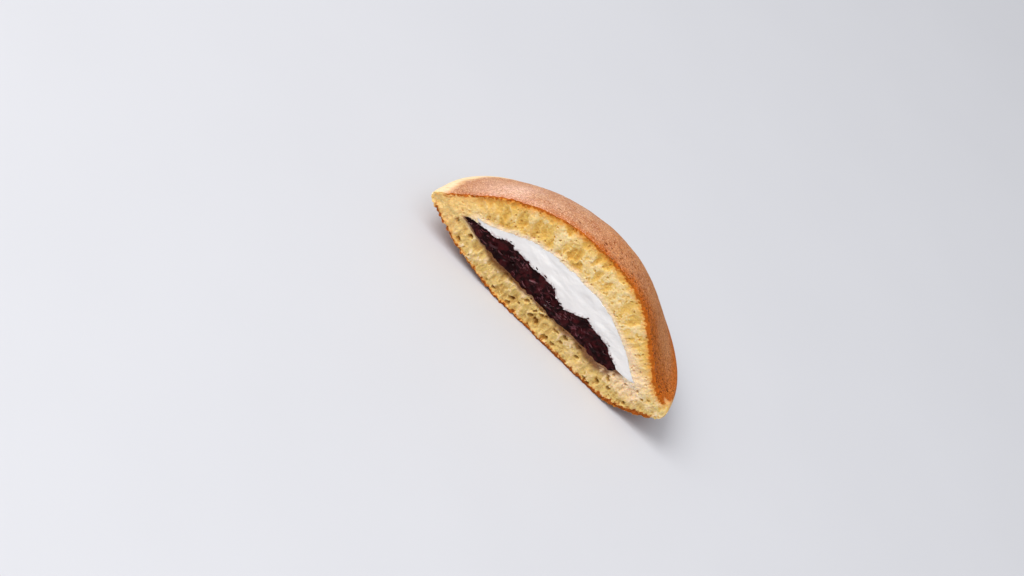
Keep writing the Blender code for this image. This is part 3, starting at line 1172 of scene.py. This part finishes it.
def crumb_by_filling(finish, crumb):
    """Pressed and pinkish beside the cream, warm at the left end, brown under the paste."""
    crumb = finish.over(crumb, linear(246, 214, 180), finish.mark("pressed"), 0.9)
    tone = finish.mix(finish.noise(1.8, 3.0), linear(226, 166, 92), linear(255, 226, 160))
    crumb = finish.over(crumb, tone, finish.mark("warm"))
    stain = finish.ramp(finish.mark("stain"), 0.0, 0.95, 0.0, 0.9)
    return finish.over(crumb, linear(108, 58, 26), stain)


def crumb_by_skin(finish, crumb, look, browned):
    """The toasted layer under the skin, and the torn edge of the skin itself."""
    uneven = finish.ramp(finish.noise(0.9, 3.0), 0.3, 0.7, -0.45, 0.45)
    wavy = finish.plus(finish.mark("under_skin"), uneven)
    toasted = finish.times(finish.ramp(wavy, look["toast_reach"], 0.6), browned)
    less_when_warm = finish.ramp(finish.mark("warm"), 0.0, 0.85, 1.0, 0.35)
    crumb = finish.over(crumb, linear(226, 150, 58), toasted, less_when_warm, 0.9)
    wider = finish.ramp(finish.mark("toast_and_shade"), 0.0, 1.0, 0.0, -0.45)
    torn_edge = finish.ramp(finish.plus(wavy, wider), 1.05, 0.4)
    return finish.over(crumb, look["edge"], torn_edge, browned)


# %% [markdown]
# ## Colours of the skin
# A skin is copper brown, in soft patches, with a matt grain of dark and light flecks that
# comes from tiny burst bubbles. On the right the pores beside the cut are painted nearly
# black and the pits of the mesh are painted darker, as painted shade in these hollows. The
# grain is finer than any mesh could carry, so it is colour, in several sizes of noise and
# spots. The pale rim is laid over it last, with a golden line where it begins.

# %% Colours of the skin
def baked_skin(finish, look, browned):
    """Soft patches, the painted highlight, the tan behind the cut and the scorch beside it."""
    toast_and_shade, behind = finish.mark("toast_and_shade"), finish.mark("behind")
    patches = finish.ramp(finish.noise(6.0, 4.0), 0.27, 0.73)
    plain = finish.mix(patches, look["skin_dark"], look["skin_light"])
    # The right-side tones are partly real browning and partly painted shade.
    toasted = finish.mix(patches, look["toast_and_shade_dark"], look["toast_and_shade_light"])
    skin = finish.mix(toast_and_shade, plain, toasted)
    # The painted highlight on the left shoulder, a pale pink patch in place of a real sheen.
    skin = finish.over(skin, linear(252, 208, 186), finish.mark("painted_highlight"), 0.7)
    tanned = finish.times(toast_and_shade, finish.ramp(behind, 5.0, 16.0))
    skin = finish.over(skin, linear(212, 150, 104), tanned, 0.55)
    return finish.over(skin, linear(202, 104, 24), finish.mark("scorch"), browned, 0.92)


def skin_grain(finish, skin):
    """Dark grain, light flecks, specks, a soft mottle, and painted shade in pores and mesh pits."""
    toast_and_shade, behind = finish.mark("toast_and_shade"), finish.mark("behind")
    grain = finish.ramp(finish.noise(0.42, 2.0), 0.40, 0.60)
    skin = finish.over(skin, linear(134, 62, 18), grain, finish.ramp(toast_and_shade, 0.0, 1.0, 0.52, 0.66))
    flecks = finish.ramp(finish.noise(0.36, 2.0), 0.54, 0.68)
    fleck_tone = finish.mix(toast_and_shade, linear(248, 208, 174), linear(218, 138, 62))
    skin = finish.over(skin, fleck_tone, flecks, finish.ramp(toast_and_shade, 0.0, 1.0, 0.8, 0.62))
    specks = finish.ramp(finish.spots(1.15), 0.28, 0.12)
    in_groups = finish.ramp(finish.noise(4.5, 3.0), 0.36, 0.58)
    skin = finish.over(skin, linear(112, 54, 24), specks, in_groups, 0.4)
    # Painted shade in pores too fine for the mesh, nearly black beside the cut on the right.
    pores = finish.times(finish.ramp(finish.spots(1.0), 0.36, 0.24), toast_and_shade)
    pores = finish.times(pores, finish.ramp(finish.noise(1.9), 0.36, 0.50))
    pores = finish.times(pores, finish.ramp(behind, 4.0, 12.0, 1.0, 0.3))
    skin = finish.over(skin, linear(64, 22, 6), pores, 0.95)
    mottle = finish.ramp(finish.noise(1.3, 2.0), 0.38, 0.62)
    skin = finish.over(skin, linear(142, 72, 30), mottle, 0.22)
    # Painted shade in the real pits of the mesh.
    sharp = finish.ramp(behind, 5.0, 12.0, 0.95, 0.65)
    return finish.over(skin, linear(98, 44, 17), finish.mark("pit"), sharp)


def rim_over_skin(finish, skin, pale):
    freckles = finish.ramp(finish.noise(1.4, 4.0), 0.45, 0.7)
    # The rim is also darker on the right, partly as painted shade.
    rim = finish.mix(finish.mark("toast_and_shade"), linear(244, 218, 176), linear(232, 184, 118))
    rim = finish.over(rim, linear(228, 176, 112), freckles, 0.35)
    golden_line = finish.times(finish.ramp(pale, 0.05, 0.4), finish.ramp(pale, 0.95, 0.5))
    skin = finish.over(skin, rim, pale, 0.95)
    return finish.over(skin, linear(220, 156, 104), golden_line, 0.45)


# %% [markdown]
# ## Two sponges
# Both pancakes are the same batter, but the lower one is darker under its base, and its crumb
# is paler and more olive. Two materials could be wired side by side, but one function puts
# the layers together for both, and each has its own table of colours. Whatever is more than a
# tenth of a millimetre under the skin is crumb, and the rest is skin. A fine bump adds grit.

# %% Sponge
def sponge_finish(name, look):
    finish = Finish(name, 0.6, 0.45, (1.6, 1.1, 0.5))
    finish.set("Specular IOR Level", 0.04)
    pale = finish.mark("pale")
    browned = finish.ramp(pale, 0.9, 0.1)
    crumb = crumb_by_skin(finish, crumb_by_filling(finish, open_crumb(finish, look)), look, browned)
    skin = rim_over_skin(finish, skin_grain(finish, baked_skin(finish, look, browned)), pale)
    on_crumb = finish.ramp(finish.mark("under_skin"), 0.02, 0.09)
    # Tiny crumb pores, too fine for the mesh: painted shade in them, and a dent in the bump.
    pores = finish.times(finish.ramp(finish.spots(0.55), 0.34, 0.16), on_crumb)
    pores = finish.times(pores, finish.ramp(finish.noise(1.8), 0.35, 0.6, 0.3, 1.0))
    crumb = finish.over(crumb, linear(204, 150, 70), pores, 0.35)
    finish.colour(finish.mix(on_crumb, skin, crumb))
    finish.bump(finish.minus(finish.noise(0.4, 3.0), finish.times(pores, 0.9)), 0.13)
    print(name, "has", len(finish.tree.nodes), "nodes")
    return finish.material


top_finish = sponge_finish("top_sponge", {
    "skin_light": linear(217, 165, 128),
    "skin_dark": linear(189, 131, 95),
    # The two right-side tones are partly painted shade.
    "toast_and_shade_light": linear(226, 148, 80),
    "toast_and_shade_dark": linear(194, 114, 56),
    "crumb_light": linear(243, 218, 166),
    "crumb_dark": linear(236, 202, 136),
    "streak": linear(224, 175, 88),
    # The bubble, deep bubble and hole tones are painted shade, set by depth.
    "bubble": linear(232, 190, 106),
    "deep_bubble": linear(220, 169, 82),
    "hole": linear(198, 144, 66),
    "edge": linear(184, 98, 28),
    "toast_reach": 3.0,
})
bottom_finish = sponge_finish("bottom_sponge", {
    "skin_light": linear(196, 128, 80),
    "skin_dark": linear(160, 92, 46),
    # The two right-side tones are partly painted shade.
    "toast_and_shade_light": linear(190, 112, 58),
    "toast_and_shade_dark": linear(150, 82, 38),
    "crumb_light": linear(252, 225, 186),
    "crumb_dark": linear(226, 192, 130),
    "streak": linear(200, 170, 92),
    # The bubble, deep bubble and hole tones are painted shade, set by depth.
    "bubble": linear(224, 192, 122),
    "deep_bubble": linear(204, 164, 94),
    "hole": linear(160, 110, 46),
    "edge": linear(152, 78, 26),
    "toast_reach": 1.7,
})

# %% [markdown]
# ## Cream
# Whipped cream is nearly white, a little grey in its waves, and scatters light deeply. Pure
# white would burn out under the lamps, so both tones stay below it. Where it lies close to
# the paste, some mash is smeared into it, which the mark gives.

# %% Cream
cream_finish = Finish("cream", 0.45, 0.35, (1.5, 1.4, 1.3))
waves = cream_finish.noise(2.4, 3.0, (0.6, 1, 1.3))
cream_colour = cream_finish.mix(waves, linear(231, 228, 226), linear(241, 238, 236))
near_paste = cream_finish.ramp(cream_finish.mark("above_paste"), 1.2, 0.0)
in_smears = cream_finish.ramp(cream_finish.noise(0.8, 3.0), 0.38, 0.62)
cream_colour = cream_finish.over(cream_colour, linear(150, 112, 118), near_paste, in_smears, 0.7)
cream_finish.colour(cream_colour)
cream_finish.bump(cream_finish.noise(0.6, 3.0), 0.07)
print("cream has", len(cream_finish.tree.nodes), "nodes")

# %% [markdown]
# ## Bean paste and bean skins
# Sweet bean paste is almost black, with a wine red shine in the mash and pale mauve threads,
# partly skins that were pulled apart and partly painted highlights. It is moist, so it is
# smoother than the sponge, and a low specular level keeps it dark between the highlights. The
# torn skins are painted lighter, partly as a painted highlight, and throw back more light,
# which is why they stand out. The threads are the narrow band where a noise is close to its
# middle, since drawing each as a mesh would be far too fine.

# %% Bean paste and bean skins
paste_finish = Finish("bean_paste", 0.18, 0.04, (0.8, 0.2, 0.2))
paste_finish.set("Specular IOR Level", 0.07)
mash = paste_finish.ramp(paste_finish.noise(2.2, 3.0), 0.40, 0.66)
paste_colour = paste_finish.mix(mash, linear(24, 2, 3), linear(62, 17, 20))
# The pale threads are partly skins and partly painted highlights, since the paste's own specular is
# low.
strand = paste_finish.noise(2.0, 4.0, (0.7, 1, 1.5))
thread_highlight = paste_finish.times(
    paste_finish.ramp(strand, 0.465, 0.50), paste_finish.ramp(strand, 0.535, 0.50)
)
here_and_there = paste_finish.ramp(paste_finish.noise(3.5), 0.52, 0.66)
paste_colour = paste_finish.over(paste_colour, linear(134, 80, 88), thread_highlight, here_and_there, 0.55)
paste_finish.colour(paste_colour)
paste_finish.bump(paste_finish.noise(0.8, 3.0), 0.06)

skin_finish = Finish("bean_skin", 0.24, 0.0, (1, 1, 1))
skin_finish.set("Specular IOR Level", 0.35)
# The skins' lighter tone is partly their colour and partly a painted highlight.
skin_tone = skin_finish.ramp(skin_finish.noise(1.5), 0.35, 0.65)
skin_finish.colour(skin_finish.mix(skin_tone, linear(52, 14, 20), linear(104, 50, 56)))
skin_finish.bump(skin_finish.noise(0.5), 0.03)
for finish in (paste_finish, skin_finish):
    print(finish.material.name, "has", len(finish.tree.nodes), "nodes")

# %% [markdown]
# ## Dress the pieces
# Each fine piece now takes its material and the place of its solid. Smooth shading alone
# would blur the torn edges of the crumb, so edges sharper than 50 degrees stay sharp. Every
# piece lies still on the one body that the part has. The cutters have done their work and are
# taken away.

# %% Dress the pieces
SHARP = math.radians(50)
pieces = (
    (top_sponge, "upper_pancake", top_finish),
    (bottom_sponge, "lower_pancake", bottom_finish),
    (cream, "whipped_cream", cream_finish.material),
    (paste, "bean_paste", paste_finish.material),
    (skins, "bean_paste", skin_finish.material),
    (bits, "bean_paste", paste_finish.material),
)
for piece, node, material in pieces:
    use(piece)
    piece.data.materials.clear()
    piece.data.materials.append(material)
    bpy.ops.object.shade_smooth_by_angle(angle=SHARP)
    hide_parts(node)
    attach(piece, "root")
    print(piece.name, "stands for", node)

for cutter in (crumb_knife, cream_knife, paste_knife, cream_room, paste_room):
    bpy.data.objects.remove(cutter)

# %% [markdown]
# ## Camera
# The camera looks down on the cut from the front. In the picture the half leans to one side.
# Turning the cake would lift it off its base, so it stays flat and the camera is rolled by
# the same angle. Its three directions are given as the picture's right, its up and the way
# back towards the camera, which together are the turn.

# %% Camera
IMAGE_RIGHT = Vector((0.71800, 0.37432, 0.58683))
IMAGE_UP = Vector((-0.69562, 0.41543, 0.58612))
TOWARDS_CAMERA = Vector((-0.02439, -0.82904, 0.55866))
CAMERA_PLACE = Vector((-0.02797, -0.60568, 0.39957))
FOCAL_PIXELS, IMAGE_WIDTH, SENSOR = 2432.43, 1024, 36.0

deselect()
bpy.ops.object.camera_add()
camera = bpy.context.object
camera.name = "camera"
camera_turn = Matrix((IMAGE_RIGHT, IMAGE_UP, TOWARDS_CAMERA)).transposed()
camera.matrix_world = Matrix.Translation(CAMERA_PLACE) @ camera_turn.to_4x4()
camera.data.sensor_width = SENSOR
camera.data.lens = SENSOR * FOCAL_PIXELS / IMAGE_WIDTH
camera.data.clip_start = 0.01
bpy.context.scene.camera = camera
print("lens", round(camera.data.lens, 1), "mm")

# %% [markdown]
# ## Floor and light
# The floor is plain and pale, so that nothing but the cake has colour. The light is a broad
# soft one from the top of the picture, with a large weaker one in front that keeps the cut
# bright, as a window and a white card would. A bare bulb would give hard shadows in every
# bubble. A faint blue sky fills what is left.

# %% Floor
FLOOR_SIZE = 6.0
deselect()
bpy.ops.mesh.primitive_plane_add(size=FLOOR_SIZE, location=(0, 0, 0))
floor = bpy.context.object
floor.name = "floor"
floor_finish = Finish("pale_floor", 0.5, 0.0, (1, 1, 1))
floor_tone = floor_finish.noise(60.0)
floor_finish.colour(floor_finish.mix(floor_tone, linear(204, 205, 210), linear(208, 209, 214)))
floor.data.materials.append(floor_finish.material)
print("floor", FLOOR_SIZE, "m wide")

# %% Light
LAMP_DISTANCE = 1.6


def soft_light(name, direction, size, power, colour):
    deselect()
    bpy.ops.object.light_add(type="AREA", location=direction.normalized() * LAMP_DISTANCE)
    lamp = bpy.context.object
    lamp.name = name
    lamp.rotation_euler = direction.to_track_quat("Z", "Y").to_euler()
    lamp.data.size = size
    lamp.data.energy = power
    lamp.data.color = colour
    print(name, "light", size, "m wide,", power, "W")


key_side = Vector((-0.520, -0.199, 0.830)) - 0.12 * IMAGE_RIGHT + 0.08 * TOWARDS_CAMERA
soft_light("key", key_side, 1.0, 18.5, (1.0, 0.98, 0.95))
front_side = TOWARDS_CAMERA + 0.4 * IMAGE_UP + 0.25 * IMAGE_RIGHT
soft_light("front", front_side, 1.6, 12.5, (1.0, 0.99, 0.98))

world = bpy.data.worlds.new("studio")
bpy.context.scene.world = world
world.use_nodes = True
sky = world.node_tree.nodes["Background"]
sky.inputs["Color"].default_value = (0.93, 0.95, 1.0, 1.0)
sky.inputs["Strength"].default_value = 0.46
bpy.context.scene.view_settings.view_transform = "Standard"
